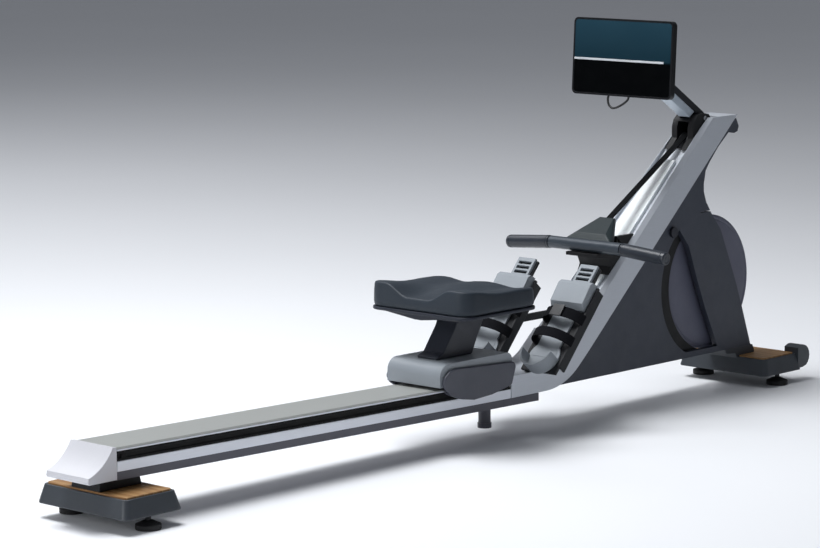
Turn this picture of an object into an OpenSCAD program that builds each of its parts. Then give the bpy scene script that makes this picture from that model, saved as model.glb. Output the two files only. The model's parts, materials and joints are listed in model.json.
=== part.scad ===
// Rowing machine with a tilted monorail, a sliding seat, a belt handle and a flywheel.
// X runs forward along the rail, Y to the rower's left, Z up from the floor.
// Lengths along X are laid out from the rear block's back edge, then shifted so the
// origin is on the floor under the middle of the machine.

/* [Rail] */
// Width of the rail and of the column
rail_w = 134; // [120:1:150]
// Height of the deck above the floor at the rear edge of the rear block
deck_z = 172; // [165:1:180]
// Fall of the rail towards the front, in degrees
tilt = 1; // [0.5:0.1:1.5]
// Where the rail meets the front frame
seam_x = 1313; // [1290:1:1330]

/* [Floor blocks] */
// Length of each floor block across the machine
block_w = 286; // [260:2:320]
// Depth of each floor block along the machine
block_d = 165; // [150:1:180]
// Height of the underside of the blocks
block_z0 = 32; // [28:1:36]
// Height of the top of the blocks
block_z1 = 74; // [68:1:80]

/* [Column] */
// Slope of the column's front edge, in degrees
col_front_a = 40.25; // [40:0.05:42]
// Slope of the column's back face, in degrees
col_back_a = 40.9; // [40:0.05:43]
// Height of the top of the column
col_top = 712; // [700:1:725]
// Width of the column at its head
head_w = 90; // [80:2:134]
// Width of the sloping chamfer beside the back face
col_chamfer = 11; // [6:1:14]

/* [Drive] */
// Radius of the round flywheel cover
cover_r = 175; // [165:1:180]
// Radius of the flywheel
fly_r = 160; // [140:1:164]
// Radius of the pulley at the head of the column
head_r = 30; // [26:1:34]
// Radius of the belt drum
drum_r = 45; // [35:1:50]
// Width of the pull belt
belt_w = 20; // [16:1:28]

/* [Seat] */
// Width of the seat
seat_w = 312; // [290:2:330]
// Depth of the seat
seat_d = 264; // [240:2:280]
// Radius of the carriage rollers
roller_r = 12; // [10:1:13]

/* [Handle] */
// Length of the handle
handle_l = 506; // [460:2:540]
// Diameter of the grips
grip_d = 33; // [28:1:36]

/* [Display] */
// Width of the display
disp_w = 316; // [280:2:340]
// Height of the display
disp_h = 193; // [170:1:200]
// Thickness of the display
disp_t = 16; // [14:1:22]

/* [Hidden] */
$fn = 48;
mid_x = 1200;
half_w = rail_w / 2;
slide_gap = 0.4;
run_gap = 0.05;

// Column edges as straight lines in the side view
front_x0 = 1540;
front_z0 = 121;
back_x0 = 1559;
back_z0 = 229;
neck_z0 = 98.2;
neck_z1 = 152;
function front_line(x) = front_z0 + (x - front_x0) * tan(col_front_a);
function front_at(z) = front_x0 + (z - front_z0) / tan(col_front_a);
function back_line(x) = back_z0 + (x - back_x0) * tan(col_back_a);
function back_at(z) = back_x0 + (z - back_z0) / tan(col_back_a);
// Height of a plane of the rail that lies d below the deck
function rail_z(x, d) = deck_z - x * tan(tilt) - d / cos(tilt);
// Points of an arc, counted from a0 to a1
function arc(cx, cz, r, a0, a1, n) =
    [for (i = [0:n]) [cx + r * cos(a0 + (a1 - a0) * i / n), cz + r * sin(a0 + (a1 - a0) * i / n)]];

// Flywheel, drum and head pulley axes
fly_x = 2147;
fly_z = 282;
drum_x = 1838;
drum_z = 262;
head_x = 2090;
head_z = 642;
panel_in = 30;
panel_out = 45;
cover_y = 20;

// Seat
seat_x0 = 1050;
seat_mid = seat_x0 + seat_d / 2;
seat_z0 = 313;
car_x0 = 1035;
car_x1 = 1300;
roller_x = [1075, 1262];
roller_y = 46;

// Handle
handle_x = 1675;
handle_z = 424;
grip_y0 = 113;
grip_drop = 4.5;
yoke_end = [1766, 485];

// Foot plates
foot_a = 49;
foot_org = [1372, 160];
foot_len = 330;
foot_y = 99;
foot_w = 108;

// Display
disp_x = 1812;
disp_z = 882;
disp_lean = -3.2;
arm_a = 32.7;
arm_pivot = [2112, 711];
arm_l = 308;
tilt_pivot = arm_pivot + arm_l * [-cos(arm_a), sin(arm_a)];
tilt_dx = (tilt_pivot[0] - disp_x) * cos(disp_lean) + (tilt_pivot[1] - disp_z) * sin(disp_lean);
tilt_dz = (tilt_pivot[1] - disp_z) * cos(disp_lean) - (tilt_pivot[0] - disp_x) * sin(disp_lean);

module place() { translate([-mid_x, 0, 0]) children(); }
module on_rail() { place() translate([0, 0, deck_z]) rotate([0, tilt, 0]) children(); }
// Runs a (y, z) outline along X from x0 to x1
module along_x(x0, x1) { translate([x0, 0, 0]) rotate([90, 0, 90]) linear_extrude(x1 - x0) children(); }
// Gives an (x, z) outline a thickness from y0 to y1
module across_y(y0, y1) { translate([0, y1, 0]) rotate([90, 0, 0]) linear_extrude(y1 - y0) children(); }
// A round bar along Y
module bar_y(x, z, r, y0, y1) { translate([x, y0, z]) rotate([-90, 0, 0]) cylinder(r = r, h = y1 - y0); }
module box(x0, x1, y0, y1, z0, z1) { translate([x0, y0, z0]) cube([x1 - x0, y1 - y0, z1 - z0]); }
module mirror_y(side) { mirror([0, side < 0 ? 1 : 0, 0]) children(); }
// Rounded rectangle centred on the origin
module round_rect(a, b, r) {
    union() {
        square([a - 2 * r, b], center = true);
        square([a, b - 2 * r], center = true);
        for (sx = [-1, 1]) for (sy = [-1, 1]) translate([sx * (a / 2 - r), sy * (b / 2 - r)]) circle(r);
    }
}

// ---------------------------------------------------------------- rail
rail_end = seam_x - 1;
module rail_body() {
    color("silver") on_rail() along_x(48, rail_end) difference() {
        translate([-half_w, -51]) square([rail_w, 48]);
        translate([-half_w + 14, -46]) square([rail_w - 28, 37]);
        for (s = [-1, 1]) translate([s * half_w - 7, -28.7]) square([14, 21.7]);
    }
}
module rail_deck() {
    color([0.62, 0.63, 0.58]) on_rail() along_x(48, rail_end) union() {
        translate([-half_w, -3]) square([rail_w, 2]);
        translate([-half_w + 5, -1.5]) square([rail_w - 10, 1.5]);
    }
}
module rail_base() {
    color([0.12, 0.12, 0.13]) on_rail() along_x(48, 1420) difference() {
        translate([-half_w + 4, -70]) square([rail_w - 8, 18.8]);
        translate([-half_w + 9, -66]) square([rail_w - 18, 10]);
    }
}
module track_strips() {
    color([0.05, 0.05, 0.05]) on_rail() for (s = [-1, 1]) mirror_y(s) {
        along_x(49, rail_end) difference() {
            translate([half_w - 6.8, -28.5]) square([6, 21.3]);
            translate([half_w - 3.8, -23]) square([6, 10]);
        }
        box(60, 76, half_w - 3.6, half_w - 0.8, -22.8, -13.2);
    }
}
module end_cap() {
    color([0.85, 0.86, 0.86]) place() difference() {
        across_y(-half_w, half_w) polygon(concat(
            [[46, 103.5], [46, rail_z(46, -1.5)], [38, rail_z(46, -1.5) + 0.5]],
            arc(-70, 233, 121, -29, -72, 8),
            [[-35, 108], [-31, 103.5]]));
        across_y(-half_w + 4, half_w - 4) polygon(concat(
            [[50, 108], [50, 168], [37, 168]], arc(-70, 233, 127, -31, -68, 8), [[-24, 108]]));
    }
}
module rear_riser() {
    color([0.06, 0.06, 0.06]) place() across_y(-45, 45) polygon([[15, block_z1 + 4],
        [136, block_z1 + 4], [130, rail_z(130, 70) - 0.1], [19, rail_z(19, 70) - 0.1]]);
}

// ---------------------------------------------------------------- floor blocks
module block_shell(x0) {
    hull() {
        translate([x0 + block_d / 2, 0, block_z0]) linear_extrude(4) round_rect(block_d, block_w, 16);
        translate([x0 + block_d / 2, 0, block_z1 - 3])
            linear_extrude(3) round_rect(block_d - 20, block_w - 20, 14);
    }
}
module block_recess(x0) {
    translate([x0 + block_d / 2, 0, block_z1 - 4]) linear_extrude(9) round_rect(block_d - 32, block_w - 32, 10);
}
module block_top(x0) {
    translate([x0 + block_d / 2, 0, block_z1 - 3.8]) linear_extrude(7.6) round_rect(block_d - 33, block_w - 33, 9.5);
}
module rear_foot_block() { color([0.17, 0.18, 0.19]) place() difference() { block_shell(0); block_recess(0); } }
module rear_foot_top() { color([0.72, 0.5, 0.3]) place() block_top(0); }
front_block_x = 2400 - block_d;
module front_foot_block() {
    color([0.15, 0.16, 0.17]) place() difference() {
        union() {
            difference() { block_shell(front_block_x); block_recess(front_block_x); }
            across_y(-45, 45) polygon([[2190, 98.9], [2310, 98.9], [2318, 84], [2318, 69], [2245, 69], [2236, 84], [2196, 88]]);
            for (s = [-1, 1]) mirror_y(s) across_y(96, 140) polygon(concat(
                [[2384, 36], [2384, 90]], arc(2405, 66, 30, 100, -60, 8), [[2404, 36]]));
        }
        for (s = [-1, 1]) mirror_y(s) {
            bar_y(2408, 56, 25.5, 104, 132);
            bar_y(2408, 56, 4.05, 90, 137);
        }
    }
}
module front_foot_top() {
    color([0.45, 0.3, 0.17]) place() difference() {
        block_top(front_block_x);
        for (s = [-1, 1]) mirror_y(s) box(2380, 2420, 92, 150, 60, 100);
        box(2230, 2318.3, -45.3, 45.3, 60, 100);
    }
}
module wheel_axles() {
    color("gainsboro") place() for (s = [-1, 1]) mirror_y(s) bar_y(2408, 56, 4, 97, 136);
}
module transport_wheel(side) {
    color([0.05, 0.05, 0.05]) place() mirror_y(side) difference() {
        bar_y(2408, 56, 24.5, 106, 130);
        bar_y(2408, 56, 4 + run_gap, 100, 136);
    }
}
module transport_wheel_left() { transport_wheel(1); }
module transport_wheel_right() { transport_wheel(-1); }
module levelling_feet() {
    color([0.04, 0.04, 0.04]) place() for (x = [block_d / 2, front_block_x + block_d / 2]) for (s = [-1, 1])
        translate([x, s * 121, 0]) {
            cylinder(r = 28, h = 12);
            translate([0, 0, 12]) cylinder(r1 = 26, r2 = 12, h = 7);
            cylinder(r = 6, h = block_z0);
        }
}
module centre_post() {
    color([0.08, 0.08, 0.09]) place() translate([1291, 0, 22]) {
        cylinder(r = 17, h = 12);
        cylinder(r = 15, h = rail_z(1310, 70) - 22);
    }
}

// ---------------------------------------------------------------- front frame
neck_in = neck_z1 + 136;
bend_a = col_front_a;
bend_t = 190 * tan(bend_a / 2);
bend_x = front_at(neck_z0) - bend_t;
back_t = 128 * tan(col_back_a / 2);
back_bx = back_at(neck_z1) - back_t;
// Side outline of the frame: s moves the back edge inwards, c lowers the front edge
function frame_outline(s, c) = concat(
    [[seam_x, neck_z0 - c]],
    arc(bend_x, neck_z0 + 190, 190 + c, -90, -90 + bend_a, 10),
    [[front_at(col_top) + c / sin(col_front_a), col_top - s * 0.4], [back_at(col_top) + s / sin(col_back_a), col_top - s * 0.4]],
    arc(back_bx, neck_z1 + 128, 128 + s, -90 + col_back_a, -90, 10),
    [[seam_x, neck_z1 - s]]);
// Half widths of the column fall evenly from its foot (u = 0) to its head (u = head_u)
head_u = 733;
taper_k = (rail_w - head_w) / 2 / head_u;
function half_at(u) = half_w - taper_k * u;
// Everything between the column's two sides, moved inwards by e
module taper(e) {
    along_back(0) translate([0, 0, -700]) linear_extrude(1400) polygon([[-900, half_w - e], [0, half_w - e],
        [900, half_at(900) - e], [900, e - half_at(900)], [0, e - half_w], [-900, e - half_w]]);
}
module front_frame() {
    color("silver") place() difference() {
        intersection() {
            across_y(-half_w, half_w) polygon(frame_outline(0, 0));
            taper(0);
        }
        // hollow, open towards the front and below
        intersection() {
            across_y(-half_w + 5, half_w - 5) polygon(frame_outline(16, 40));
            taper(5);
        }
        // recess that holds the pale inlay
        along_back(0) translate([0, 0, -9]) linear_extrude(11) polygon([[20, half_at(20) - 11],
            [675, half_at(675) - 11], [675, 11 - half_at(675)], [20, 11 - half_at(20)]]);
        // chamfers on both sides of the back face
        for (s = [-1, 1]) mirror_y(s) along_back(0) translate([0, half_w, 0]) rotate([0, 0, -atan(taper_k)])
            translate([-10, 0, 0]) rotate([90, 0, 90]) linear_extrude(790)
            polygon([[-col_chamfer, 1], [2, 1], [2, -col_chamfer - 1]]);
        // mouth for the head block
        box(2016, 2172, -36, 36, 634, 745);
    }
}
// Coordinates that follow the back face: X up the slope, Z out of the face
module along_back(start) {
    translate([back_at(232) + start * cos(col_back_a), 0, 232 + start * sin(col_back_a)])
        rotate([0, -col_back_a, 0]) children();
}
module column_inlay() {
    color([0.85, 0.87, 0.88]) place() along_back(0) translate([0, 0, -8.8]) linear_extrude(8.3) polygon([
        [24, half_at(24) - 27], [580, half_at(580) - 27], [580, 27 - half_at(580)], [24, 27 - half_at(24)]]);
}
module lift_bar() { color([0.16, 0.17, 0.17]) place() bar_y(2234, 685, 9, -29.8, 29.8); }

// ---------------------------------------------------------------- side panels
hole_x = 2110;
hole_z = 283;
hole_r = 190;
module leg_outline() {
    polygon([[1996, 432], [2034, 388], [2066, 306], [2105, 218], [2150, 130], [2166, 90],
        [2330, 90], [2302, 100], [2267, 193], [2240, 262], [2169, 418], [2132, 470], [2000, 470]]);
}
module panel_outline() {
    difference() {
        polygon([[1505, 99], [2302, 99], [2267, 193], [2240, 262], [2169, 418], [2132, 460],
            [2106, 496], [2096, 524], [2096, 543], [2105, 578], [2122, 598], [2160, 634], [2206, 668],
            [2230, 664], [2246, 668], [2251, 681], [2240, 702], [2224, 704], [2204, 696], [2188, 683],
            [2130, 632], [2060, 586], [1950, 490], [1700, 271], [1550, 139]]);
        difference() {
            intersection() {
                translate([hole_x, hole_z]) circle(hole_r, $fn = 72);
                translate([1800, 114]) square([600, 400]);
            }
            leg_outline();
        }
    }
}
module side_panel(side) {
    color([0.15, 0.17, 0.19]) place() mirror_y(side) difference() {
        intersection() {
            across_y(panel_in, panel_out) panel_outline();
            taper(5.4);
        }
        bar_y(fly_x, fly_z, 8.05, panel_in - 1, panel_out - 5);
        bar_y(drum_x, drum_z, 6.05, panel_in - 1, panel_out - 5);
    }
}
module side_panel_left() { side_panel(1); }
module side_panel_right() { side_panel(-1); }
module panel_liners() {
    color([0.02, 0.02, 0.02]) place() for (s = [-1, 1]) mirror_y(s) difference() {
        across_y(22, 29.6) intersection() {
            translate([hole_x, hole_z]) circle(hole_r + 14, $fn = 72);
            translate([1880, 110]) square([340, 330]);
        }
        bar_y(fly_x, fly_z, cover_r + 2, 10, 40);
        if (s > 0) box(1850, 2200, 10, 40, 190, 345);
    }
}
module panel_bolts() {
    color([0.2, 0.2, 0.21]) place() for (s = [-1, 1]) mirror_y(s) {
        bar_y(1966, 432, 14, panel_out + 0.1, panel_out + 7);
    }
}
module fan_cover(side) {
    color([0.2, 0.2, 0.23]) place() mirror_y(side) difference() {
        union() {
            bar_y(fly_x, fly_z, cover_r, 0.2, cover_y - 4);
            translate([fly_x, cover_y - 4, fly_z]) rotate([-90, 0, 0]) cylinder(r1 = cover_r, r2 = cover_r - 4, h = 4);
        }
        bar_y(fly_x, fly_z, fly_r + 6, -1, cover_y - 5);
        bar_y(fly_x, fly_z, 24, -1, cover_y + 1);
    }
}
module fan_cover_left() { fan_cover(1); }
module fan_cover_right() { fan_cover(-1); }
module flywheel() {
    color("dimgray") place() difference() {
        union() {
            difference() {
                bar_y(fly_x, fly_z, fly_r, -10, 10);
                bar_y(fly_x, fly_z, fly_r - 30, 4, 11);
                bar_y(fly_x, fly_z, fly_r - 30, -11, -4);
            }
            bar_y(fly_x, fly_z, 20, -16, 18);
            bar_y(fly_x, fly_z, 18, 18, 29);
        }
        bar_y(fly_x, fly_z, 8 + run_gap, -40, 40);
    }
}
module drive_axles() {
    color("gainsboro") place() union() {
        bar_y(fly_x, fly_z, 8, -panel_out + 6, panel_out - 6);
        bar_y(drum_x, drum_z, 6, -panel_out + 6, panel_out - 6);
    }
}
module belt_drum() {
    color([0.3, 0.3, 0.32]) place() difference() {
        union() {
            bar_y(drum_x, drum_z, drum_r - 3, -14, 20);
            bar_y(drum_x, drum_z, drum_r + 9, -17, -13.5);
            bar_y(drum_x, drum_z, drum_r + 9, 13.5, 17);
            bar_y(drum_x, drum_z, 60, 20, 29);
        }
        bar_y(drum_x, drum_z, 6 + run_gap, -40, 40);
    }
}
module drive_belt() {
    color([0.03, 0.03, 0.03]) place() across_y(21.5, 28.5) difference() {
        hull() {
            translate([drum_x, drum_z]) circle(62.4, $fn = 48);
            translate([fly_x, fly_z]) circle(20.4, $fn = 48);
        }
        hull() {
            translate([drum_x, drum_z]) circle(60.4, $fn = 48);
            translate([fly_x, fly_z]) circle(18.4, $fn = 48);
        }
    }
}

// ---------------------------------------------------------------- head and pull belt
module head_bracket() {
    color([0.05, 0.05, 0.05]) place() difference() {
        across_y(-34, 34) polygon([[2030, 634.4], [2046, 648], [2060, 661.5], [2060, 690], [2067, 708],
        [2082, 720], [2104, 725], [2126, 721], [2138, 708], [2132, 644], [2125, 634.4]]);
        // slot for the pulley and the belt
        box(1990, 2124.5, -17, 17, 600, 704);
        // slot for the display arm
        across_y(-19, 19) union() {
            translate(arm_pivot) circle(21);
            polygon([[arm_pivot[0] - 11.3, arm_pivot[1] - 17.7], [2016, 748], [2016, 800], [2160, 800],
                [arm_pivot[0] + 21, arm_pivot[1]], arm_pivot]);
        }
        bar_y(head_x, head_z, 5 + run_gap, -36, 36);
        bar_y(arm_pivot[0], arm_pivot[1], 6 + run_gap, -36, 36);
    }
}
module head_pins() {
    color("gainsboro") place() union() {
        bar_y(head_x, head_z, 5, -33.5, 33.5);
        bar_y(arm_pivot[0], arm_pivot[1], 6, -33.5, 33.5);
    }
}
module head_pulley() {
    color([0.35, 0.35, 0.36]) place() difference() {
        union() {
            bar_y(head_x, head_z, head_r, -belt_w / 2 - 1, belt_w / 2 + 1);
            for (s = [-1, 1]) mirror_y(s) bar_y(head_x, head_z, head_r + 3, belt_w / 2 + 1, belt_w / 2 + 3.5);
        }
        bar_y(head_x, head_z, 5 + run_gap, -20, 20);
    }
}
belt_a = atan((head_z + head_r * 0.83 - yoke_end[1]) / (head_x - head_r * 0.55 - yoke_end[0]));
belt_t = 2.4;
yoke_tip = yoke_end - [10, 7];
belt_from = yoke_tip + 8.4 * [cos(belt_a), sin(belt_a)];
belt_n = 18;
function belt_top(k) = arc(head_x, head_z, head_r + 0.6 + k, 90 + belt_a, -22, belt_n);
module pull_belt() {
    color([0.03, 0.03, 0.03]) place() across_y(-belt_w / 2, belt_w / 2) polygon(concat(
        [belt_from + belt_t / 2 * [-sin(belt_a), cos(belt_a)]],
        belt_top(belt_t),
        [[drum_x + drum_r + 1.5, drum_z + 3], [drum_x + drum_r - 1.2, drum_z]],
        [for (i = [belt_n:-1:0]) belt_top(0)[i]],
        [belt_from - belt_t / 2 * [-sin(belt_a), cos(belt_a)]]));
}

// ---------------------------------------------------------------- handle
module handle_bar() {
    color([0.2, 0.21, 0.22]) place() union() {
        bar_y(handle_x, handle_z, 15.5, -grip_y0, grip_y0);
        for (s = [-1, 1]) mirror_y(s) translate([handle_x, grip_y0, handle_z])
            rotate([-90 - grip_drop, 0, 0]) translate([0, 0, -2]) cylinder(r = 11, h = handle_l / 2 - grip_y0 - 4);
    }
}
module handle_grip(side) {
    color([0.12, 0.13, 0.14]) place() mirror_y(side) translate([handle_x, grip_y0, handle_z])
        rotate([-90 - grip_drop, 0, 0]) difference() {
            union() {
                translate([0, 0, 2]) cylinder(r = grip_d / 2, h = handle_l / 2 - grip_y0 - 6);
                translate([0, 0, handle_l / 2 - grip_y0 - 4]) cylinder(r1 = grip_d / 2, r2 = grip_d / 2 - 3, h = 4);
            }
            translate([0, 0, -4]) cylinder(r = 11.02, h = handle_l / 2 - grip_y0 - 1);
        }
}
module handle_grip_left() { handle_grip(1); }
module handle_grip_right() { handle_grip(-1); }
module handle_yoke() {
    color([0.2, 0.24, 0.24]) place() difference() {
        hull() {
            bar_y(handle_x + 10, handle_z + 4, 11, -70, 70);
            bar_y(handle_x + 24, handle_z + 20, 12, -46, 46);
            bar_y(yoke_tip[0], yoke_tip[1], 8, -22, 22);
        }
        bar_y(handle_x, handle_z, 15.52, -90, 90);
    }
}
module handle_holder() {
    color([0.05, 0.05, 0.05]) place() union() {
        across_y(-50, 50) polygon([[1656, 399], [1656, 407.5], [1697, 407.5], [1703, 412],
            [1718, 412], [back_at(412) - 0.2, 412], [back_at(352) - 0.2, 352], [1710, 372], [1700, 394]]);
        for (s = [-1, 1]) mirror_y(s) across_y(34, 46) polygon([[1738, 430], [1738, 444],
            [back_at(444) - 0.2, 444], [back_at(400) - 0.2, 400], [1745, 404]]);
    }
}

// ---------------------------------------------------------------- foot plates
// Coordinates that follow a foot plate: X up the slope from the heel, Z out of the sole
module foot_frame(side) {
    place() translate([foot_org[0], side * foot_y, foot_org[1]]) rotate([0, -foot_a, 0]) children();
}
module foot_bracket() {
    color([0.08, 0.09, 0.1]) place() for (s = [-1, 1]) mirror_y(s) across_y(48.3, 62) union() {
        polygon([[1460.6, 248.9], [1475, 265.5], [back_at(265.5) - 0.4, 265.5], [back_at(248.9) - 0.4, 248.9]]);
        polygon([[1382, 152.5], [1382, 158], [1411, 191.5], [1416, 191.5], [1416, 152.5]]);
    }
}
module foot_base(side) {
    color([0.1, 0.1, 0.11]) foot_frame(side) union() {
        box(0, 250, -foot_w / 2, foot_w / 2, -8, 0);
        box(249, 304, -31, 31, -8, 0);
        for (s = [-1, 1]) box(20, 244, s * foot_w / 2 - 3, s * foot_w / 2 + 3, -26, 2);
    }
}
module foot_base_left() { foot_base(1); }
module foot_base_right() { foot_base(-1); }
module foot_slide(side) {
    color([0.66, 0.69, 0.7]) foot_frame(side) difference() {
        union() {
            // heel cup
            translate([38, 0, slide_gap]) difference() {
                cylinder(r = 46, h = 40);
                translate([0, 0, 5]) cylinder(r = 41, h = 40);
                translate([0, -60, 5]) cube([80, 120, 60]);
            }
            box(38, 178, -34, 34, slide_gap, 6);
            // ball pad
            across_y(-50, 50) polygon([[176, slide_gap], [176, 8], [188, 22], [240, 26], [250, 20], [254, slide_gap]]);
            // tongue with slots
            box(250, 306, -27, 27, slide_gap, 8);
        }
        for (x = [260, 273.5, 287]) box(x, x + 8.5, -20, 20, -5, 20);
    }
}
module foot_slide_left() { foot_slide(1); }
module foot_slide_right() { foot_slide(-1); }
// Strap that arches over the instep
module foot_strap(side) {
    color([0.04, 0.04, 0.04]) foot_frame(side) for (b = [[140, 168, 40], [78, 104, 46]])
        translate([b[0], 0, 0]) rotate([90, 0, 90]) linear_extrude(b[1] - b[0]) difference() {
            translate([0, -6]) scale([1, b[2] / 60]) circle(61.3, $fn = 48);
            translate([0, -6]) scale([1, b[2] / 60]) circle(58.3, $fn = 48);
            translate([-80, -100]) square([160, 94]);
        }
}
module foot_strap_left() { foot_strap(1); }
module foot_strap_right() { foot_strap(-1); }
module strap_buckles() {
    color([0.1, 0.1, 0.1]) for (s = [-1, 1]) foot_frame(s) box(138, 170, -17, 17, 35.1, 39);
}

// ---------------------------------------------------------------- seat
module seat_outline(inset) {
    translate([seat_mid, 0]) round_rect(seat_d - 2 * inset, seat_w - 2 * inset, 34 - inset);
}
module seat_pad() {
    color([0.22, 0.26, 0.27]) place() difference() {
        translate([0, 0, seat_z0 + 20]) linear_extrude(62) seat_outline(0);
        // the top falls towards the front
        translate([seat_x0 - 20, -200, seat_z0 + 82]) rotate([0, 4.5, 0]) cube([340, 400, 60]);
        // hollow for the thighs and the tail bone
        translate([seat_x0 + 190, 0, 640]) scale([1.1, 1, 1]) sphere(r = 265, $fn = 96);
        translate([seat_x0 - 20, 0, seat_z0 + 128]) rotate([0, 90, 0]) cylinder(r = 78, h = 110);
    }
}
module seat_pan() {
    color([0.2, 0.21, 0.22]) place() difference() {
        union() {
            translate([0, 0, seat_z0 + 12]) linear_extrude(7.8) seat_outline(-2);
            translate([seat_mid, 0, 0]) rotate([90, 0, 90]) translate([0, 0, -seat_d / 2 + 4])
                linear_extrude(seat_d - 8) polygon([[-110, seat_z0 + 12.1], [-10, seat_z0], [10, seat_z0], [110, seat_z0 + 12.1]]);
        }
    }
}
module seat_pedestal() {
    color([0.14, 0.15, 0.17]) place() union() {
        across_y(-32, 32) polygon([[1086, 216], [1212, 216], [1216, 226], [1252, 296], [1252, 303],
            [1158, 303], [1150, 286], [1108, 230], [1086, 222]]);
        box(1130, 1262, -60, 60, 303, seat_z0 - 0.2);
    }
}
module seat_carriage() {
    color([0.6, 0.61, 0.62]) place() difference() {
        across_y(-84, 84) polygon(concat([[car_x0 + 4, 162]], arc(car_x0 + 34, 186, 30, 180, 90, 6),
            arc(car_x1 - 24, 196, 20, 90, 0, 6), [[car_x1 - 4, 162]]));
        // hollow for the rollers
        across_y(-70, 70) polygon([[car_x0 + 12, 150], [car_x0 + 12, 186], [car_x0 + 30, 206],
            [car_x1 - 30, 206], [car_x1 - 12, 196], [car_x1 - 12, 150]]);
        for (x = roller_x) bar_y(x, roller_zc(x), 5.02, -76, 76);
    }
}
function roller_zc(x) = rail_z(x, -roller_r) + 0.3;
module carriage_cover(side) {
    color([0.2, 0.21, 0.23]) place() mirror_y(side) difference() {
        across_y(70, 93) translate([car_x0 - 1035, 0]) offset(12) offset(delta = -12) polygon([[1043, 171],
            [1050, 187], [1066, 199], [1088, 203], [1152, 200], [1296, 193], [1301, 181], [1287, 140],
            [1280, 136], [1216, 124], [1152, 120], [1110, 127], [1076, 140], [1053, 155]]);
        translate([car_x0 - 10, 60, 148]) cube([300, 24.4, 72]);
    }
}
module carriage_cover_left() { carriage_cover(1); }
module carriage_cover_right() { carriage_cover(-1); }
module roller_axles() {
    color("gainsboro") place() for (x = roller_x) bar_y(x, roller_zc(x), 5, -75, 75);
}
module roller_pair(x) {
    color([0.08, 0.08, 0.08]) place() for (s = [-1, 1]) mirror_y(s) difference() {
        bar_y(x, roller_zc(x), roller_r, roller_y - 11, roller_y + 11);
        bar_y(x, roller_zc(x), 5 + run_gap, roller_y - 12, roller_y + 12);
    }
}
module rollers_rear() { roller_pair(roller_x[0]); }
module rollers_front() { roller_pair(roller_x[1]); }

// ---------------------------------------------------------------- display
// Coordinates that follow the display: X out of its back, Z up its face
module disp_frame() { place() translate([disp_x, 0, disp_z]) rotate([0, -disp_lean, 0]) children(); }
module display_body() {
    color([0.04, 0.05, 0.06]) union() {
        disp_frame() difference() {
            rotate([90, 0, 90]) linear_extrude(disp_t) round_rect(disp_w, disp_h, 13);
            translate([-0.1, 0, 0]) rotate([90, 0, 90]) linear_extrude(2) round_rect(disp_w - 10, disp_h - 10, 9);
        }
        disp_frame() translate([disp_t - 0.1, 0, -8]) rotate([90, 0, 90]) linear_extrude(7) round_rect(170, 96, 12);
        // hinge ears
        disp_frame() for (s = [-1, 1]) mirror_y(s) difference() {
            box(disp_t + 6.5, disp_t + 36, 20, 27, tilt_dz - 12, tilt_dz + 12);
            bar_y(tilt_dx, tilt_dz, 5 + run_gap, 0, 60);
        }
    }
}
module display_screen() {
    color([0.05, 0.12, 0.14]) disp_frame() translate([0.2, 0, 0]) rotate([90, 0, 90])
        linear_extrude(1.6) round_rect(disp_w - 10.4, disp_h - 10.4, 8.8);
}
module display_strip() {
    color("gainsboro") disp_frame() box(-1.6, 0, -132, 152, -9, -4);
}
// Arm coordinates: X along the arm from the head pivot towards the display
module arm_frame() { place() translate([arm_pivot[0], 0, arm_pivot[1]]) rotate([0, 180 + arm_a, 0]) children(); }
module display_arm() {
    color([0.62, 0.64, 0.65]) arm_frame() union() {
        across_y(-18, 18) polygon([[30, -2], [40, 20], [arm_l - 40, 20], [arm_l - 18, 8], [arm_l, 8],
            [arm_l, -8], [arm_l - 18, -8], [arm_l - 24, -2]]);
        bar_y(arm_l, 0, 15, -18, 18);
        bar_y(arm_l, 0, 5, -27, 27);
    }
}
module display_arm_cover() {
    color([0.1, 0.1, 0.11]) arm_frame() difference() {
        union() {
            bar_y(0, 0, 20, -18, 18);
            across_y(-18, 18) polygon([[0, -20], [arm_l - 60, -20], [arm_l - 30, -8.2], [arm_l - 24, -2.2],
                [29.5, -2.2], [10, 10], [0, 10]]);
        }
        bar_y(0, 0, 6 + run_gap, -30, 30);
    }
}
// Loop of cable under the display, swept along its points
cable_r = 2.75;
cable_pts = [[8, 44, -96.6], [8, 46, -104], [8, 45, -113], [8, 41, -121], [8, 34, -126], [8, 26, -127],
    [8, 16, -124.5], [8, 6, -120], [8, -4, -114.5], [8, -12, -109], [8, -18, -103], [8, -20, -96.6]];
function cable_dir(i) = i == 0 ? [0, 0, -1] : i == len(cable_pts) - 1 ? [0, 0, 1] :
    (cable_pts[i + 1] - cable_pts[i - 1]) / norm(cable_pts[i + 1] - cable_pts[i - 1]);
function ring(i, n) = let (t = cable_dir(i), u = cross(t, [1, 0, 0]) / norm(cross(t, [1, 0, 0])), v = cross(t, u))
    [for (k = [0:n - 1]) cable_pts[i] + cable_r * (cos(360 * k / n) * u + sin(360 * k / n) * v)];
module display_cable() {
    n = 10;
    m = len(cable_pts);
    color([0.05, 0.05, 0.05]) disp_frame() polyhedron(
        points = [for (i = [0:m - 1]) each ring(i, n)],
        faces = concat([[for (k = [0:n - 1]) k]],
            [for (i = [0:m - 2]) for (k = [0:n - 1])
                [i * n + k, (i + 1) * n + k, (i + 1) * n + (k + 1) % n, i * n + (k + 1) % n]],
            [[for (k = [n - 1:-1:0]) (m - 1) * n + k]]));
}

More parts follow.
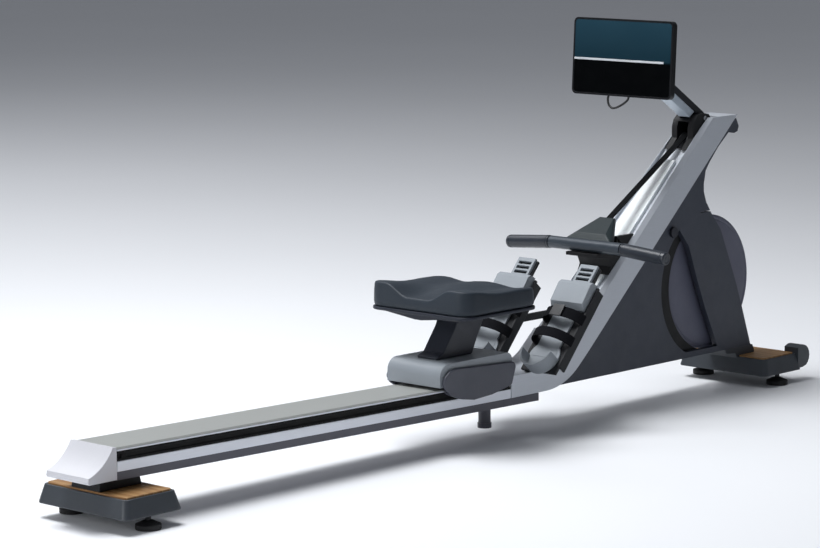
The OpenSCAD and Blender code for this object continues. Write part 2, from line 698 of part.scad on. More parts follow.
rail_body();
rail_deck();
rail_base();
track_strips();
end_cap();
rear_riser();
rear_foot_block();
rear_foot_top();
levelling_feet();
centre_post();
front_frame();
column_inlay();
lift_bar();
side_panel_left();
side_panel_right();
fan_cover_left();
fan_cover_right();
panel_liners();
front_foot_block();
front_foot_top();
wheel_axles();
transport_wheel_left();
transport_wheel_right();
head_bracket();
head_pins();
head_pulley();
handle_holder();
foot_bracket();
foot_base_left();
foot_base_right();
foot_slide_left();
foot_slide_right();
foot_strap_left();
foot_strap_right();
strap_buckles();
flywheel();
drive_axles();
belt_drum();
drive_belt();
seat_pad();
seat_pan();
seat_pedestal();
seat_carriage();
carriage_cover_left();
carriage_cover_right();
roller_axles();
rollers_front();
rollers_rear();
handle_bar();
handle_grip_left();
handle_grip_right();
handle_yoke();
pull_belt();
display_arm();
display_arm_cover();
display_body();
display_screen();
display_strip();
display_cable();
panel_bolts();
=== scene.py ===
import json
import math

import bmesh
import bpy
from mathutils import Matrix, Vector


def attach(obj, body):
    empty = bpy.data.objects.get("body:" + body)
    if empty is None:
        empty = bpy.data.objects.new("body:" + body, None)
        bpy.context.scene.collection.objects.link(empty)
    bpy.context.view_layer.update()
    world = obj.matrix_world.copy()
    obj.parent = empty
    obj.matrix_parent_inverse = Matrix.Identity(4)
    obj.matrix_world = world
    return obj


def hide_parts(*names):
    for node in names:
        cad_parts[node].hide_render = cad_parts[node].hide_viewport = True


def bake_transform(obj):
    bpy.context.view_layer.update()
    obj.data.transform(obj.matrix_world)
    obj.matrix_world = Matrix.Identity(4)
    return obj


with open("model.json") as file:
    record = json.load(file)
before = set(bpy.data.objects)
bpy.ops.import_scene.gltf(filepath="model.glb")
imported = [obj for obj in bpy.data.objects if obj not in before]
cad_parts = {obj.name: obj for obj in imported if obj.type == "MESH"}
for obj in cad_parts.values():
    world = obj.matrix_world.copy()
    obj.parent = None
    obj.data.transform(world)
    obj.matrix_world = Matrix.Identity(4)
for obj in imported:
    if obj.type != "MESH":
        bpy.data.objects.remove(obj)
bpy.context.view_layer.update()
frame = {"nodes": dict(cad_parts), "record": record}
NODES = frame["nodes"]
SLOT_OF = {s["node"]: s["material_slot"] for s in frame["record"]["subparts"]}
BODY_OF = {n: b for b, ns in frame["record"]["behaviour"]["bodies"].items() for n in ns}


def X(x):
    """Length along the machine from the rear block's edge, in mm, to the row's X in metres."""
    return (x - 1200.0) / 1000.0


# Row X of the seam between the rail and the front casting
SEAM_X = 0.113


# ------------------------------------------------------------------ camera
CAM_AT = Vector((-5.4207, -4.8476, 1.4777))
CAM_YAW, CAM_PITCH, CAM_ROLL = 0.7456, 0.1463, -0.0051
CAM_LENS = 135.97


def make_camera():
    level = math.cos(CAM_PITCH)
    f = Vector((level * math.cos(CAM_YAW), level * math.sin(CAM_YAW), -math.sin(CAM_PITCH)))
    r = Vector((math.sin(CAM_YAW), -math.cos(CAM_YAW), 0.0))
    u = r.cross(f)
    c, s = math.cos(CAM_ROLL), math.sin(CAM_ROLL)
    right, up = r * c + u * s, u * c - r * s
    data = bpy.data.cameras.new("camera")
    data.lens = CAM_LENS
    data.sensor_width = 36.0
    data.clip_end = 200.0
    cam = bpy.data.objects.new("camera", data)
    cam.matrix_world = Matrix.Translation(CAM_AT) @ Matrix((right, up, -f)).transposed().to_4x4()
    bpy.context.scene.collection.objects.link(cam)
    bpy.context.scene.camera = cam


make_camera()


# ------------------------------------------------------------------ materials
def lin(r, g, b):
    """Linear colour from display values 0..255."""
    out = []
    for v in (r, g, b):
        v /= 255.0
        out.append(v / 12.92 if v <= 0.04045 else ((v + 0.055) / 1.055) ** 2.4)
    return tuple(out)


class Shader:
    """A Principled material whose detail comes from textures in object space."""

    def __init__(self, name, rough=0.5, metal=0.0, spec=0.5, coat=0.0, coat_rough=0.2, sheen=0.0,
                 bevel=0.0012):
        self.mat = bpy.data.materials.new(name)
        self.mat.use_nodes = True
        self.tree = self.mat.node_tree
        self.tree.nodes.clear()
        out = self.add("ShaderNodeOutputMaterial")
        self.bsdf = self.add("ShaderNodeBsdfPrincipled")
        self.link(self.bsdf.outputs[0], out.inputs[0])
        self.put("Roughness", rough)
        self.put("Metallic", metal)
        self.put("Specular IOR Level", spec)
        self.put("Coat Weight", coat)
        self.put("Coat Roughness", coat_rough)
        self.put("Sheen Weight", sheen)
        self.coord = self.add("ShaderNodeTexCoord").outputs["Object"]
        self.normal = None
        if bevel > 0:
            b = self.add("ShaderNodeBevel")
            b.samples = 4
            b.inputs["Radius"].default_value = bevel
            self.normal = b.outputs[0]
            self.link(self.normal, self.bsdf.inputs["Normal"])

    def add(self, kind, **props):
        n = self.tree.nodes.new(kind)
        for k, v in props.items():
            setattr(n, k, v)
        return n

    def link(self, a, b):
        self.tree.links.new(a, b)

    def put(self, socket, value):
        self.bsdf.inputs[socket].default_value = value

    def place(self, stretch=(1, 1, 1), turn=(0, 0, 0), coord=None):
        m = self.add("ShaderNodeMapping")
        m.inputs["Scale"].default_value = stretch
        m.inputs["Rotation"].default_value = turn
        self.link(coord or self.coord, m.inputs["Vector"])
        return m.outputs[0]

    def noise(self, scale, detail=3.0, rough=0.5, stretch=(1, 1, 1)):
        n = self.add("ShaderNodeTexNoise")
        n.inputs["Scale"].default_value = scale
        n.inputs["Detail"].default_value = detail
        n.inputs["Roughness"].default_value = rough
        n.inputs["Distortion"].default_value = 0.0
        self.link(self.place(stretch), n.inputs["Vector"])
        return n.outputs["Fac"]

    def cells(self, scale):
        n = self.add("ShaderNodeTexVoronoi")
        n.inputs["Scale"].default_value = scale
        self.link(self.place(), n.inputs["Vector"])
        return n.outputs["Distance"]

    def wave(self, scale, direction, coord):
        n = self.add("ShaderNodeTexWave", bands_direction=direction, wave_profile="SIN")
        n.inputs["Scale"].default_value = scale
        n.inputs["Distortion"].default_value = 0.0
        self.link(self.place(coord=coord), n.inputs["Vector"])
        return n.outputs["Fac"]

    def ramp(self, fac, low, high, a=0.0, b=1.0):
        n = self.add("ShaderNodeMapRange")
        n.inputs["From Min"].default_value = low
        n.inputs["From Max"].default_value = high
        n.inputs["To Min"].default_value = a
        n.inputs["To Max"].default_value = b
        self.link(fac, n.inputs["Value"])
        return n.outputs[0]

    def math(self, op, a, b=0.5, clamp=False):
        n = self.add("ShaderNodeMath", operation=op, use_clamp=clamp)
        for i, v in enumerate((a, b)):
            if isinstance(v, (int, float)):
                n.inputs[i].default_value = v
            else:
                self.link(v, n.inputs[i])
        return n.outputs[0]

    def mix(self, fac, a, b):
        n = self.add("ShaderNodeMix", data_type="RGBA")
        self.link(fac, n.inputs["Factor"])
        for key, v in ((6, a), (7, b)):
            if isinstance(v, tuple):
                n.inputs[key].default_value = (*v[:3], 1.0)
            else:
                self.link(v, n.inputs[key])
        return n.outputs[2]

    def edges(self, reach=0.0025, gain=5.0):
        """1 along the part's edges, 0 on its faces."""
        b = self.add("ShaderNodeBevel")
        b.samples = 4
        b.inputs["Radius"].default_value = reach
        g = self.add("ShaderNodeNewGeometry")
        d = self.add("ShaderNodeVectorMath", operation="DOT_PRODUCT")
        self.link(b.outputs[0], d.inputs[0])
        self.link(g.outputs["Normal"], d.inputs[1])
        return self.math("MULTIPLY", self.math("SUBTRACT", 1.0, d.outputs["Value"]), gain, clamp=True)

    def bump(self, height, strength, distance=0.0004):
        n = self.add("ShaderNodeBump")
        n.inputs["Strength"].default_value = strength
        n.inputs["Distance"].default_value = distance
        self.link(height, n.inputs["Height"])
        if self.normal is not None:
            self.link(self.normal, n.inputs["Normal"])
        self.normal = n.outputs[0]
        self.link(self.normal, self.bsdf.inputs["Normal"])

    def base(self, colour):
        if isinstance(colour, tuple):
            self.put("Base Color", (*colour[:3], 1.0))
        else:
            self.link(colour, self.bsdf.inputs["Base Color"])

    def rough(self, fac, low, high):
        self.link(self.ramp(fac, 0.3, 0.7, low, high), self.bsdf.inputs["Roughness"])


def shade(c, k):
    return tuple(min(1.0, v * k) for v in c)


def solid(name, colour, rough, metal=0.0, vary=0.08, grain=0.25, grain_scale=1400.0, wear=0.25, worn=1.7,
          spec=0.5, bevel=0.0012, cells=False, stretch=(1, 1, 1)):
    """Paint, moulded plastic or rubber: clouded colour, fine surface grain, uneven gloss and paler edges."""
    s = Shader(name, rough, metal, spec, 0.0, 0.25, 0.0, bevel)
    cloud = s.noise(7.0, 4.0, 0.6, stretch)
    fine = s.noise(240.0, 2.0, 0.6, stretch)
    both = s.math("ADD", s.math("MULTIPLY", cloud, 0.7), s.math("MULTIPLY", fine, 0.3))
    col = s.mix(s.ramp(both, 0.3, 0.7), shade(colour, 1 - vary), shade(colour, 1 + vary))
    if wear > 0:
        mask = s.math("MULTIPLY", s.edges(), s.ramp(s.noise(60.0, 4.0, 0.7), 0.35, 0.65, 0.35 * wear, wear))
        col = s.mix(mask, col, shade(colour, worn))
    s.base(col)
    s.rough(s.noise(22.0, 4.0, 0.65, stretch), max(0.05, rough - 0.07), min(1.0, rough + 0.07))
    if grain > 0:
        s.bump(s.cells(grain_scale) if cells else s.noise(grain_scale, 2.0, 0.5, stretch), grain, 0.0002)
    return s.mat


def brushed(name, colour, rough, along=(1, 60, 60), metal=1.0, line=0.18, front_shade=None):
    """Brushed or extruded metal: fine lines along one direction. In front of the seam its colour is multiplied
    darker: painted shade on the front frame.
    """
    vary = 0.06
    s = Shader(name, rough, metal, 0.5, 0.0, 0.2, 0.0, 0.0012)
    lines = s.noise(22.0, 4.0, 0.65, along)
    cloud = s.noise(3.0, 3.0, 0.5)
    col = s.mix(s.ramp(lines, 0.3, 0.7), shade(colour, 1 - vary), shade(colour, 1 + vary))
    col = s.mix(s.ramp(cloud, 0.35, 0.65, 0.0, 0.35), col, shade(colour, 0.93))
    col = s.mix(s.math("MULTIPLY", s.edges(), 0.4), col, shade(colour, 1.25))
    # Painted shade: the colour in front of the seam, on the front frame, is multiplied darker.
    if front_shade:
        sep = s.add("ShaderNodeSeparateXYZ")
        s.link(s.coord, sep.inputs[0])
        shade_tint = s.add("ShaderNodeMix", data_type="RGBA", blend_type="MULTIPLY")
        s.link(s.ramp(sep.outputs["X"], SEAM_X - 0.0005, SEAM_X + 0.0005), shade_tint.inputs["Factor"])
        s.link(col, shade_tint.inputs[6])
        shade_tint.inputs[7].default_value = (*front_shade, 1.0)
        col = shade_tint.outputs[2]
    s.base(col)
    s.rough(lines, rough - 0.06, rough + 0.08)
    s.bump(lines, line, 0.0002)
    return s.mat


def wood(name, light, dark):
    s = Shader(name, 0.5, 0.0, 0.4, 0.08, 0.3, 0.0, 0.001)
    ring = s.add("ShaderNodeTexWave", bands_direction="X", wave_profile="SAW")
    ring.inputs["Scale"].default_value = 14.0
    ring.inputs["Distortion"].default_value = 5.5
    ring.inputs["Detail"].default_value = 3.0
    ring.inputs["Detail Scale"].default_value = 1.2
    s.link(s.place((1.0, 0.16, 1.0), (0, 0, 0.12)), ring.inputs["Vector"])
    fibre = s.noise(260.0, 4.0, 0.6, (1.0, 0.045, 1.0))
    pores = s.noise(900.0, 2.0, 0.5, (1.0, 0.06, 1.0))
    col = s.mix(s.ramp(ring.outputs["Fac"], 0.0, 1.0), light, dark)
    col = s.mix(s.ramp(fibre, 0.35, 0.7, 0.0, 0.45), col, shade(dark, 0.7))
    col = s.mix(s.ramp(pores, 0.62, 0.72, 0.0, 0.5), col, shade(dark, 0.45))
    s.base(col)
    s.rough(fibre, 0.42, 0.58)
    s.bump(s.math("ADD", fibre, s.math("MULTIPLY", pores, 0.6)), 0.25, 0.0003)
    return s.mat


def webbing(name, colour, pitch=0.0011, thread_highlight=1.35):
    """Woven nylon: reads the piece's own lengths along and across the strap. Raised threads get a painted
    highlight and the hollows between them painted shade.
    """
    s = Shader(name, 0.85, 0.0, 0.12, 0.0, 0.2, 0.0, 0.0)
    at = s.add("ShaderNodeAttribute", attribute_name="weave").outputs["Vector"]
    k = 1.0 / pitch
    warp = s.wave(k * 0.159 * 2, "X", at)
    weft = s.wave(k * 0.159 * 2, "Y", at)
    twill = s.wave(k * 0.159 * 1.3, "DIAGONAL", at)
    h = s.math("ADD", s.math("MULTIPLY", warp, weft), s.math("MULTIPLY", twill, 0.5))
    # Painted highlight on the raised threads and painted shade in the weave's hollows, following the weave's
    # height.
    col = s.mix(s.ramp(h, 0.2, 1.2), shade(colour, 0.6), shade(colour, thread_highlight))
    col = s.mix(s.ramp(s.noise(30.0, 3.0), 0.35, 0.65, 0.0, 0.3), col, shade(colour, 1.5))
    s.base(col)
    s.bump(h, 0.7, 0.0003)
    return s.mat


def glossy_screen(name):
    """Dark glass: painted teal light over the upper part, brighter towards its top, and black below the bar."""
    s = Shader(name, 0.4, 0.0, 0.04, 0.0, 0.06, 0.0, 0.0008)
    sep = s.add("ShaderNodeSeparateXYZ")
    s.link(s.coord, sep.inputs[0])
    upper = s.ramp(sep.outputs["Z"], 0.8715, 0.8775)
    # Painted light: the upper glass turns a brighter teal towards its top.
    painted_light = s.ramp(sep.outputs["Z"], 0.87, 0.985)
    side = s.noise(2.6, 2.0, 0.5, (0.3, 1.0, 1.0))
    teal = s.mix(painted_light, lin(14, 36, 45), lin(35, 62, 75))
    teal = s.mix(s.ramp(side, 0.35, 0.65, 0.0, 0.5), teal, lin(22, 46, 58))
    s.base(s.mix(upper, lin(0, 1, 2), teal))
    s.rough(s.noise(35.0, 3.0), 0.36, 0.46)
    return s.mat


def cast(name, colour):
    """Turned cast iron: fine rings round the axle."""
    s = Shader(name, 0.42, 1.0, 0.5, 0.0, 0.2, 0.0, 0.001)
    centre = s.add("ShaderNodeMapping")
    centre.inputs["Location"].default_value = (-X(2147), 0.0, -0.282)
    s.link(s.coord, centre.inputs["Vector"])
    ring = s.add("ShaderNodeTexWave", wave_type="RINGS", rings_direction="Y")
    ring.inputs["Scale"].default_value = 60.0
    ring.inputs["Distortion"].default_value = 0.6
    s.link(centre.outputs[0], ring.inputs["Vector"])
    pits = s.noise(500.0, 3.0)
    s.base(s.mix(s.ramp(pits, 0.3, 0.7), shade(colour, 0.8), shade(colour, 1.2)))
    s.rough(pits, 0.35, 0.55)
    s.bump(s.math("ADD", ring.outputs["Fac"], s.math("MULTIPLY", pits, 0.5)), 0.2, 0.0002)
    return s.mat


MATS = {
    # The rail's metal, with painted shade multiplied in on the front frame in front of the seam.
    "rail_aluminium": brushed("rail_aluminium", lin(222, 225, 232), 0.45, (1, 60, 60), 0.5,
                              front_shade=(0.75, 0.765, 0.77)),
    "deck_plate": brushed("deck_plate", lin(167, 169, 166), 0.38, (1, 50, 50), 0.25, 0.12),
    "base_black": solid("base_black", lin(75, 75, 85), 0.4),
    # Near-black track strips: their own black plastic, darkened further as painted shade in the rail's channel.
    "track_black": solid("track_black", lin(4, 4, 5), 0.6, spec=0.2, wear=0.1),
    "cap_grey": solid("cap_grey", lin(200, 200, 205), 0.42, vary=0.03, wear=0.1, worn=1.1, grain=0.15),
    "black_plastic": solid("black_plastic", lin(10, 10, 13), 0.55, spec=0.3),
    "block_charcoal": solid("block_charcoal", lin(51, 56, 62), 0.45, grain=0.35, cells=True),
    "wood_inlay": wood("wood_inlay", lin(176, 140, 94), lin(138, 97, 54)),
    "foot_rubber": solid("foot_rubber", lin(20, 20, 22), 0.7, wear=0.1),
    "inlay_white": solid("inlay_white", lin(247, 252, 253), 0.3, vary=0.02, wear=0.0, grain=0.1),
    "panel_charcoal": solid("panel_charcoal", lin(47, 52, 64), 0.5, grain=0.45, grain_scale=1000.0,
                            cells=True),
    "cover_graphite": solid("cover_graphite", lin(88, 90, 106), 0.5, grain=0.5, grain_scale=900.0,
                            cells=True),
    "plain_steel": brushed("plain_steel", lin(190, 192, 196), 0.3, (40, 1, 40)),
    "wheel_rubber": solid("wheel_rubber", lin(22, 22, 24), 0.65, wear=0.3, worn=2.4),
    "pulley_nylon": solid("pulley_nylon", lin(44, 44, 48), 0.45),
    "bracket_black": solid("bracket_black", lin(16, 18, 23), 0.5, spec=0.3),
    "sole_grey": solid("sole_grey", lin(136, 142, 148), 0.6, vary=0.05, wear=0.3, worn=0.75, grain=0.5,
                       grain_scale=700.0),
    "strap_webbing": webbing("strap_webbing", lin(12, 13, 18)),
    "buckle_black": solid("buckle_black", lin(26, 27, 30), 0.35),
    "flywheel_iron": cast("flywheel_iron", lin(96, 96, 100)),
    "belt_rubber": solid("belt_rubber", lin(20, 20, 22), 0.6, stretch=(1, 30, 1)),
    "seat_skin": solid("seat_skin", lin(44, 51, 59), 0.5, vary=0.07, grain=0.5, grain_scale=1000.0, cells=True,
                       wear=0.0, bevel=0.0, spec=0.25),
    "pan_plastic": solid("pan_plastic", lin(38, 42, 52), 0.45, spec=0.3),
    "pedestal_dark": solid("pedestal_dark", lin(40, 43, 52), 0.38),
    "carriage_grey": solid("carriage_grey", lin(136, 142, 148), 0.35, vary=0.05, wear=0.2, worn=1.3),
    "carriage_dark": solid("carriage_dark", lin(70, 72, 82), 0.45, grain=0.35, cells=True),
    "roller_black": solid("roller_black", lin(26, 26, 29), 0.5),
    "handle_metal": solid("handle_metal", lin(55, 62, 70), 0.35, metal=0.2),
    "grip_rubber": solid("grip_rubber", lin(37, 42, 50), 0.33, grain=0.5, grain_scale=900.0, cells=True,
                         wear=0.0, bevel=0.0),
    "yoke_plastic": solid("yoke_plastic", lin(27, 37, 40), 0.45, spec=0.3),
    "belt_webbing": webbing("belt_webbing", lin(7, 8, 11), 0.0014),
    "arm_grey": solid("arm_grey", lin(168, 178, 188), 0.4, metal=0.1, grain=0.1),
    "arm_black": solid("arm_black", lin(14, 16, 23), 0.45, spec=0.3),
    "display_black": solid("display_black", lin(9, 11, 15), 0.35, vary=0.05, grain=0.0, spec=0.25, wear=0.1),
    "screen_glass": glossy_screen("screen_glass"),
    "strip_metal": brushed("strip_metal", lin(225, 228, 232), 0.3, (30, 1, 30), 0.6),
    "cable_black": solid("cable_black", lin(20, 20, 22), 0.6, wear=0.0, bevel=0.0),
    "bolt_black": brushed("bolt_black", lin(54, 56, 62), 0.4, (30, 1, 30), 0.8),
}
for name, obj in NODES.items():
    obj.data.materials.clear()
    obj.data.materials.append(MATS[SLOT_OF[name]])


# ------------------------------------------------------------------ mesh helpers
def add_mesh(name, verts, faces, mat, body, replaces=(), smooth=True, angle=40.0, weave=None):
    me = bpy.data.meshes.new(name)
    me.from_pydata([tuple(v) for v in verts], [], faces)
    bm = bmesh.new()
    bm.from_mesh(me)
    bmesh.ops.recalc_face_normals(bm, faces=bm.faces)
    bm.to_mesh(me)
    bm.free()
    ob = bpy.data.objects.new(name, me)
    bpy.context.scene.collection.objects.link(ob)
    if weave is not None:
        a = me.attributes.new("weave", "FLOAT_VECTOR", "POINT")
        a.data.foreach_set("vector", [c for w in weave for c in w])
    finish_piece(ob, mat, body, replaces, smooth, angle)
    return ob


def finish_piece(ob, mat, body, replaces=(), smooth=True, angle=40.0):
    ob.data.materials.clear()
    ob.data.materials.append(MATS[mat])
    if smooth:
        for p in ob.data.polygons:
            p.use_smooth = True
        ob.data.set_sharp_from_angle(angle=math.radians(angle))
    if body is not None:
        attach(ob, body)
    if replaces:
        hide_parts(*replaces)


def rings_to_faces(count, around, cap_start=True, cap_end=True):
    """Faces of a tube made of count rings of around points each."""
    faces = []
    for i in range(count - 1):
        for k in range(around):
            k2 = (k + 1) % around
            faces.append((i * around + k, (i + 1) * around + k, (i + 1) * around + k2, i * around + k2))
    if cap_start:
        faces.append(tuple(range(around)))
    if cap_end:
        faces.append(tuple((count - 1) * around + k for k in reversed(range(around))))
    return faces


def lathe(name, profile, at, axis, mat, body, replaces, around, angle):
    """Turns (distance along axis, radius) points round an axis through at."""
    z = Vector(axis).normalized()
    x = Vector((0, 0, 1)) if abs(z.z) < 0.9 else Vector((1, 0, 0))
    x = (x - z * x.dot(z)).normalized()
    y = z.cross(x)
    verts = []
    for t, r in profile:
        for k in range(around):
            a = 2 * math.pi * k / around
            verts.append(Vector(at) + z * t + (x * math.cos(a) + y * math.sin(a)) * r)
    return add_mesh(name, verts, rings_to_faces(len(profile), around), mat, body, replaces, True, angle)


ROUND_ABOVE = math.radians(32.0)
SMOOTH_BELOW = 38.0


def rounded(node, width):
    """A copy of a CAD node with its sharp edges rounded, shown in its place."""
    src = NODES[node]
    me = src.data.copy()
    ob = bpy.data.objects.new(node + ".soft", me)
    bpy.context.scene.collection.objects.link(ob)
    bm = bmesh.new()
    bm.from_mesh(me)
    bmesh.ops.remove_doubles(bm, verts=bm.verts, dist=2e-6)
    bmesh.ops.dissolve_limit(bm, angle_limit=math.radians(0.6), verts=bm.verts, edges=bm.edges)
    sharp = [e for e in bm.edges if len(e.link_faces) == 2 and e.calc_face_angle(0.0) > ROUND_ABOVE]
    bmesh.ops.bevel(bm, geom=sharp, offset=width, offset_type="OFFSET", segments=2, profile=0.5,
                    affect="EDGES", clamp_overlap=True)
    bm.to_mesh(me)
    bm.free()
    finish_piece(ob, SLOT_OF[node], BODY_OF[node], (node,), True, SMOOTH_BELOW)
    even = ob.modifiers.new("even", "WEIGHTED_NORMAL")
    even.keep_sharp = True
    even.weight = 80


def smoothstep(a, b, x):
    t = min(1.0, max(0.0, (x - a) / (b - a)))
    return t * t * (3 - 2 * t)


def strip_mesh(name, path, across, width, thick, mat, body, replaces=(), run=0.0):
    """A flat strap that follows path, with its width along across; run is where its weave starts."""
    n = len(path)
    section = []
    half, t = width / 2, thick / 2
    for k in range(9):
        v = -half + width * k / 8
        section.append((v, t))
    edge = [(half + t * 0.35, t * 0.5), (half + t * 0.35, -t * 0.5)]
    under = [(-v, -t) for v, _ in section]
    section = section + edge + under + [(-half - t * 0.35, -t * 0.5), (-half - t * 0.35, t * 0.5)]
    verts, weave = [], []
    for i, p in enumerate(path):
        p = Vector(p)
        a = Vector(path[max(0, i - 1)])
        b = Vector(path[min(n - 1, i + 1)])
        along = (b - a).normalized()
        side = Vector(across)
        up = along.cross(side).normalized()
        if i:
            run += (p - Vector(path[i - 1])).length
        for v, h in section:
            verts.append(p + side * v + up * h)
            weave.append((run, v, h))
    faces = rings_to_faces(n, len(section))
    return add_mesh(name, verts, faces, mat, body, replaces, True, 50.0, weave)


# ------------------------------------------------------------------ cable loop under the display
LEAN = math.radians(-3.2)


def disp_point(x, y, z):
    """Display coordinates in mm (x out of its back, z up its face) to the row frame."""
    c, s = math.cos(LEAN), math.sin(LEAN)
    return Vector((X(1812) + (x * c - z * s) / 1000, y / 1000, 0.882 + (x * s + z * c) / 1000))


CABLE = [(8, 44, -96.6), (8, 46, -104), (8, 45, -113), (8, 41, -121), (8, 34, -126), (8, 26, -127),
         (8, 16, -124.5), (8, 6, -120), (8, -4, -114.5), (8, -12, -109), (8, -18, -103), (8, -20, -96.6)]
CABLE_D = 0.0055


def cable_loop():
    pts = [disp_point(*p) for p in CABLE]
    fine = []
    for i in range(len(pts) - 1):
        p0, p1, p2, p3 = pts[max(0, i - 1)], pts[i], pts[i + 1], pts[min(len(pts) - 1, i + 2)]
        for k in range(4):
            t = k / 4
            square, cube = 2 * p0 - 5 * p1 + 4 * p2 - p3, 3 * p1 - p0 - 3 * p2 + p3
            fine.append(0.5 * ((2 * p1) + (p2 - p0) * t + square * t * t + cube * t ** 3))
    fine.append(pts[-1])
    side = disp_point(1, 0, 0) - disp_point(0, 0, 0)
    side.normalize()
    verts = []
    for i, p in enumerate(fine):
        along = (fine[min(len(fine) - 1, i + 1)] - fine[max(0, i - 1)]).normalized()
        up = along.cross(side).normalized()
        for k in range(14):
            a = 2 * math.pi * k / 14
            verts.append(p + (side * math.cos(a) + up * math.sin(a)) * CABLE_D / 2)
    ob = add_mesh("cable_loop", verts, rings_to_faces(len(fine), 14), "cable_black", "display",
                  ("display_cable",))


cable_loop()


# ------------------------------------------------------------------ seat
SEAT_X0, SEAT_D, SEAT_W = 1050.0, 264.0, 312.0
SEAT_R = 36.0


def seat_top(x, y):
    """Height of the seat's top in mm; x from the rear edge, y from the middle."""
    u = x / SEAT_D
    ay = abs(y)
    z = 393.0 - 20.0 * u
    z -= 29.0 * (1 - smoothstep(30, 104, ay)) * (1 - smoothstep(0.10, 0.62, u))
    z -= 9.0 * math.exp(-((u - 0.52) / 0.24) ** 2) * math.exp(-((ay - 74) / 44) ** 2)
    z -= 5.0 * smoothstep(0.5, 1.0, u) * math.exp(-((ay - 78) / 30) ** 2)
    z += 3.0 * smoothstep(0.55, 1.0, u) * smoothstep(105, 150, ay)
    z -= 4.5 * math.exp(-((u - 0.42) / 0.2) ** 2) * smoothstep(110, 150, ay)
    z += 2.0 * smoothstep(0.6, 1.0, u) * math.exp(-(ay / 26) ** 2)
    return z


def seat_rim(inset=0.0):
    """Points of the seat's outline, in mm from its middle."""
    hx, hy, r = SEAT_D / 2 - inset, SEAT_W / 2 - inset, max(2.0, SEAT_R - inset)
    corner = 14
    per = []
    for cx, cy, a0 in ((1, 1, 0), (-1, 1, 90), (-1, -1, 180), (1, -1, 270)):
        for i in range(corner + 1):
            a = math.radians(a0 + 90 * i / corner)
            per.append((cx * (hx - r) + r * math.cos(a), cy * (hy - r) + r * math.sin(a)))
    out = []
    for i, p in enumerate(per):
        q = per[(i + 1) % len(per)]
        d = math.hypot(q[0] - p[0], q[1] - p[1])
        steps = max(1, int(round(d / 3.6)))
        for s in range(steps):
            out.append((p[0] + (q[0] - p[0]) * s / steps, p[1] + (q[1] - p[1]) * s / steps))
    return out


def seat_cushion():
    rim = seat_rim()
    n = len(rim)
    mid = SEAT_D / 2
    verts = []

    def put(scale_in, drop, fixed=None):
        for px, py in rim:
            d = math.hypot(px, py)
            k = (d - scale_in) / d
            x, y = px * k, py * k
            z = seat_top(x + mid, y) - drop if fixed is None else fixed
            verts.append((X(SEAT_X0 + mid + x), y / 1000, z / 1000))

    fixed_rows = [(8.0, 333.4), (3.0, 334.6), (0.6, 338.0), (-0.4, 345.0)]
    for inset, z in fixed_rows:
        put(inset, 0, z)
    # side wall, leaning in slightly towards the rim
    for f in (0.2, 0.4, 0.6, 0.8, 1.0):
        for px, py in rim:
            d = math.hypot(px, py)
            top = seat_top(px + mid, py) - 8.0
            z = 345.0 + (top - 345.0) * f
            inset = -0.4 + 1.6 * f * f
            k = (d - inset) / d
            verts.append((X(SEAT_X0 + mid + px * k), py * k / 1000, z / 1000))
    lip = ((1.4, 6.4), (1.9, 4.8), (2.6, 3.3), (3.6, 2.0), (4.9, 1.0), (6.5, 0.3), (8.4, 0.0))
    for inset, drop in lip:
        put(inset, drop)
    shrink = [0.92 - 0.03 * k for k in range(30)]
    rows = len(fixed_rows) + 5 + len(lip) + len(shrink)
    # top: rings that shrink to the middle
    for f in shrink:
        for px, py in rim:
            x, y = px * f, py * f
            verts.append((X(SEAT_X0 + mid + x), y / 1000, seat_top(x + mid, y) / 1000))
    ob = add_mesh("seat_cushion", verts, rings_to_faces(rows, n), "seat_skin", "seat",
                  ("seat_pad",), True, 60.0)


seat_cushion()


# ------------------------------------------------------------------ foot straps
FOOT_A = math.radians(49.0)
# Each band: start and end up the slope, and height of its arch, in mm
BANDS = ((140, 168, 40), (78, 104, 46))
BAND_HALF = 59.8
BAND_T = 0.0024


def foot_point(side, x, y, z):
    """Foot plate coordinates in mm (x up the slope, z out of the sole) to the row frame."""
    c, s = math.cos(FOOT_A), math.sin(FOOT_A)
    return Vector((X(1372) + (x * c - z * s) / 1000, (side * 99 + y) / 1000, 0.160 + (x * s + z * c) / 1000))


def foot_straps():
    up_slope = (foot_point(1, 1, 0, 0) - foot_point(1, 0, 0, 0)).normalized()
    for side, word in ((1, "left"), (-1, "right")):
        for i, (x0, x1, rise) in enumerate(BANDS):
            path = []
            for k in range(41):
                a = math.radians(6 + 168 * k / 40)
                high = -6 + BAND_HALF * rise / 60 * math.sin(a)
                path.append(foot_point(side, (x0 + x1) / 2, BAND_HALF * math.cos(a), high))
            strip_mesh("foot_strap_%s.band%d" % (word, i), path, up_slope, (x1 - x0) / 1000 - 0.001,
                                    BAND_T, "strap_webbing", "frame")
        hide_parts("foot_strap_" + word)


foot_straps()


# ------------------------------------------------------------------ pull belt
# Centre and radius of the head pulley and the drum, in mm
HEAD = (2090.0, 642.0, 30.0)
DRUM = (1838.0, 262.0, 45.0)
BELT_W, BELT_T = 0.0194, 0.0022
YOKE_TIP = (1756.0, 478.0)
# The run to the handle is cut here into straight pieces, shorter towards its ends
BELT_CUTS = (0.0, 0.012, 0.05, 0.15, 0.35, 0.65, 0.85, 0.95, 0.988, 1.0)


